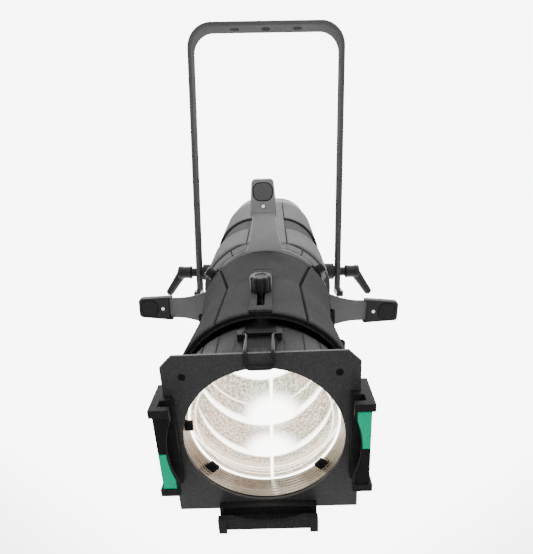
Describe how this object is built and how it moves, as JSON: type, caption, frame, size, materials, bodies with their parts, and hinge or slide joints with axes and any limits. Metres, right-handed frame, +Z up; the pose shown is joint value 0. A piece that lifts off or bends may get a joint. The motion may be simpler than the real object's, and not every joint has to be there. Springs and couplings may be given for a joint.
{
  "type": "ellipsoidal spotlight",
  "caption": "Yoke-hung LED stage light with framing shutters, a turning barrel, a focusing lens tube and a square colour frame.",
  "frame": {"origin": "centre of the middle hanging hole, half way through the crossbar of the yoke", "axes": "+Z up the yoke; the beam leaves toward -Y, 10 degrees below level; +X along the pivot, on the right in a view along +Y"},
  "size_m": [0.3658, 0.7087, 0.6039],
  "materials": {
    "yoke_paint": "satin powder paint on flat steel bar",
    "black_moulding": "fine moulded grain",
    "dark_casting": "dark textured paint on a casting",
    "grey_casting": "grey textured paint on a casting",
    "barrel_casting": "dark grey textured paint on a casting",
    "bright_steel": "plated steel with turning marks",
    "dark_screw": "blackened steel",
    "vent_screen": "dark painted sheet",
    "sheet_steel": "stainless sheet, heat tinted at the edges",
    "hood_black": "matt black anodised",
    "clear_glass": "polished glass",
    "board_green": "solder mask",
    "emitter_yellow": "phosphor domes",
    "sink_metal": "extruded fins, clear anodised",
    "display_dark": "tinted window",
    "button_grey": "moulded keys",
    "inlet_blue": "moulded insulator",
    "outlet_grey": "moulded insulator",
    "data_metal": "nickel plated shell",
    "grip_rubber": "fine grained grip",
    "tube_moulding": "fine grained moulding",
    "ring_metal": "spun ring, clear anodised",
    "label_green": "printed label",
    "frame_black": "black painted sheet",
    "wire_black": "black coated spring wire"
  },
  "bodies": {
    "yoke": {"yoke": "yoke_paint", "yoke_end_caps": "black_moulding"},
    "head": {"tilt_brackets": "dark_casting", "pivot_bolts": "bright_steel", "housing_upper": "grey_casting", "housing_lower": "grey_casting", "housing_screws": "dark_screw", "vent_screens": "vent_screen", "front_ring": "ring_metal", "gate_plate": "hood_black", "condenser_lens": "clear_glass", "led_board": "board_green", "led_array": "emitter_yellow", "heat_sink": "sink_metal", "fan_frame": "black_moulding", "tie_rods": "bright_steel", "driver_board": "board_green", "rear_cover": "dark_casting", "rear_grille": "vent_screen", "display": "display_dark", "power_inlet": "inlet_blue", "power_outlet": "outlet_grey", "data_inlet": "data_metal", "data_outlet": "data_metal", "safety_loop": "bright_steel"},
    "left_lever": {"left_tilt_lever": "black_moulding", "left_lever_screw": "bright_steel"},
    "right_lever": {"right_tilt_lever": "black_moulding", "right_lever_screw": "bright_steel"},
    "fan": {"fan_rotor": "black_moulding"},
    "menu_key": {"menu_button": "button_grey"},
    "up_key": {"up_button": "button_grey"},
    "down_key": {"down_button": "button_grey"},
    "enter_key": {"enter_button": "button_grey"},
    "barrel": {"barrel_upper": "barrel_casting", "barrel_lower": "barrel_casting", "barrel_screws": "dark_screw", "shutter_rear_plate": "sheet_steel", "shutter_front_plate": "sheet_steel", "shutter_posts": "bright_steel"},
    "left_knob": {"left_turn_knob": "black_moulding"},
    "right_knob": {"right_turn_knob": "black_moulding"},
    "top_shutter": {"top_blade": "sheet_steel", "top_handle": "grip_rubber"},
    "bottom_shutter": {"bottom_blade": "sheet_steel", "bottom_handle": "grip_rubber"},
    "left_shutter": {"left_blade": "sheet_steel", "left_handle": "grip_rubber"},
    "right_shutter": {"right_blade": "sheet_steel", "right_handle": "grip_rubber"},
    "lens_tube": {"lens_tube_left": "tube_moulding", "lens_tube_right": "tube_moulding", "rear_lens": "clear_glass", "front_lens": "clear_glass", "lens_ring": "ring_metal", "angle_labels": "label_green", "gel_frame": "frame_black", "focus_stud": "bright_steel"},
    "tube_knob": {"focus_knob": "black_moulding"},
    "bail": {"retaining_bail": "wire_black"}
  },
  "joints": [
    {"name": "head_tilt", "type": "hinge", "parent": "yoke", "child": "head", "pos_m": [0, 0, -0.395], "axis": [1, 0, 0], "range_deg": [-62, 95]},
    {"name": "left_lever_turn", "type": "hinge", "parent": "head", "child": "left_lever", "pos_m": [0, 0, -0.395], "axis": [-1, 0, 0], "range_deg": [0, 180]},
    {"name": "right_lever_turn", "type": "hinge", "parent": "head", "child": "right_lever", "pos_m": [0, 0, -0.395], "axis": [1, 0, 0], "range_deg": [0, 180]},
    {"name": "fan_spin", "type": "hinge", "parent": "head", "child": "fan", "pos_m": [0, 0, -0.395], "axis": [0, -0.9848, -0.1736], "continuous": true},
    {"name": "menu_press", "type": "slide", "parent": "head", "child": "menu_key", "axis": [0, -0.9848, -0.1736], "range_m": [0, 0.0015], "stiffness_N_per_m": 300, "springref_m": -0.001},
    {"name": "up_press", "type": "slide", "parent": "head", "child": "up_key", "axis": [0, -0.9848, -0.1736], "range_m": [0, 0.0015], "stiffness_N_per_m": 300, "springref_m": -0.001},
    {"name": "down_press", "type": "slide", "parent": "head", "child": "down_key", "axis": [0, -0.9848, -0.1736], "range_m": [0, 0.0015], "stiffness_N_per_m": 300, "springref_m": -0.001},
    {"name": "enter_press", "type": "slide", "parent": "head", "child": "enter_key", "axis": [0, -0.9848, -0.1736], "range_m": [0, 0.0015], "stiffness_N_per_m": 300, "springref_m": -0.001},
    {"name": "barrel_turn", "type": "hinge", "parent": "head", "child": "barrel", "pos_m": [0, 0, -0.395], "axis": [0, -0.9848, -0.1736], "range_deg": [-27, 23]},
    {"name": "left_knob_turn", "type": "hinge", "parent": "barrel", "child": "left_knob", "pos_m": [-0.072, -0.16665, -0.37127], "axis": [-0.809, -0.1021, 0.5789], "range_deg": [0, 360]},
    {"name": "right_knob_turn", "type": "hinge", "parent": "barrel", "child": "right_knob", "pos_m": [0.06818, -0.1675, -0.36644], "axis": [0.766, -0.1116, 0.633], "range_deg": [0, 360]},
    {"name": "top_shutter_slide", "type": "slide", "parent": "barrel", "child": "top_shutter", "axis": [-0.0227, -0.1736, 0.9846], "range_m": [-0.045, 0.008]},
    {"name": "bottom_shutter_slide", "type": "slide", "parent": "barrel", "child": "bottom_shutter", "axis": [0, 0.1736, -0.9848], "range_m": [-0.045, 0.008]},
    {"name": "left_shutter_slide", "type": "slide", "parent": "barrel", "child": "left_shutter", "axis": [-0.9998, -0.0036, 0.0206], "range_m": [-0.045, 0.008]},
    {"name": "right_shutter_slide", "type": "slide", "parent": "barrel", "child": "right_shutter", "axis": [1, 0, 0], "range_m": [-0.045, 0.008]},
    {"name": "tube_focus", "type": "slide", "parent": "barrel", "child": "lens_tube", "axis": [0, -0.9848, -0.1736], "range_m": [-0.025, 0.032]},
    {"name": "focus_knob_turn", "type": "hinge", "parent": "lens_tube", "child": "tube_knob", "pos_m": [0, -0.30529, -0.44883], "axis": [-0.0349, -0.1735, 0.9842], "range_deg": [0, 360]},
    {"name": "bail_open", "type": "hinge", "parent": "lens_tube", "child": "bail", "pos_m": [-0.00284, -0.39428, -0.38182], "axis": [-0.9994, 0.0061, -0.0344], "range_deg": [0, 110]}
  ]
}
